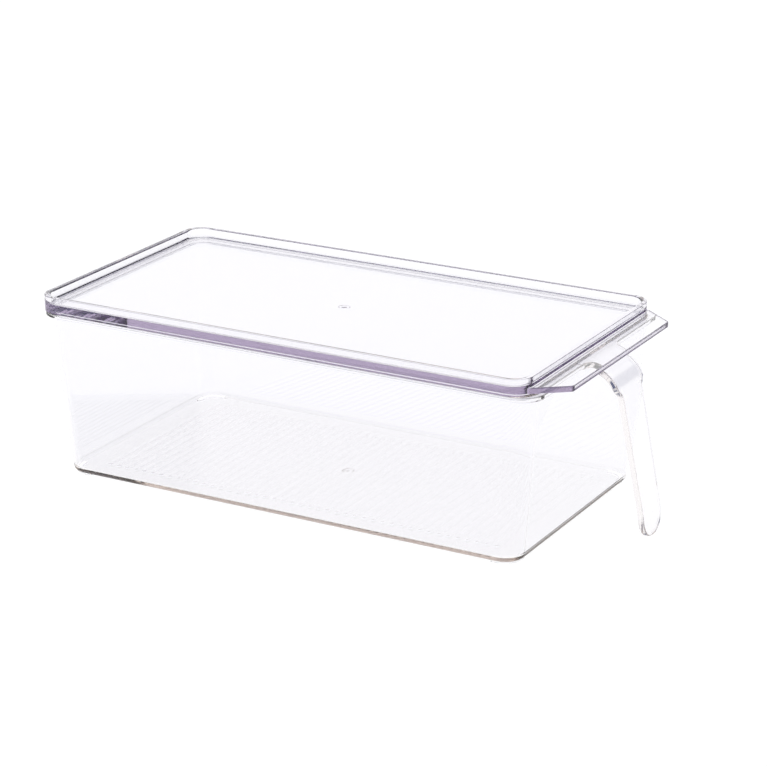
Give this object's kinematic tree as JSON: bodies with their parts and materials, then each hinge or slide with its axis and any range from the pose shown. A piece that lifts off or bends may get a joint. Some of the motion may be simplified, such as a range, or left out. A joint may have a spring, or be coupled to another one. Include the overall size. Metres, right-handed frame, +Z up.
{
  "type": "fridge bin",
  "caption": "Clear rectangular storage bin with a drop-on lid, a front lifting ledge and a moulded pull handle that hangs down in front.",
  "frame": {"origin": "on the table, midway along the overall length from the rim's back edge to the handle's tip, and midway across the width", "axes": "+X from the back towards the handle, +Z up"},
  "size_m": [0.3154, 0.15, 0.098],
  "materials": {
    "clear_tub": "clear, polished, with a faint warm tint seen along cut edges",
    "clear_lid": "clear, polished, with a faint violet tint seen along cut edges"
  },
  "bodies": {
    "bin": {"bin": "clear_tub"},
    "lid": {"lid": "clear_lid"}
  },
  "joints": [
    {"name": "lid_lift", "type": "slide", "parent": "bin", "child": "lid", "axis": [0, 0, 1], "range_m": [0, 0.08]}
  ]
}
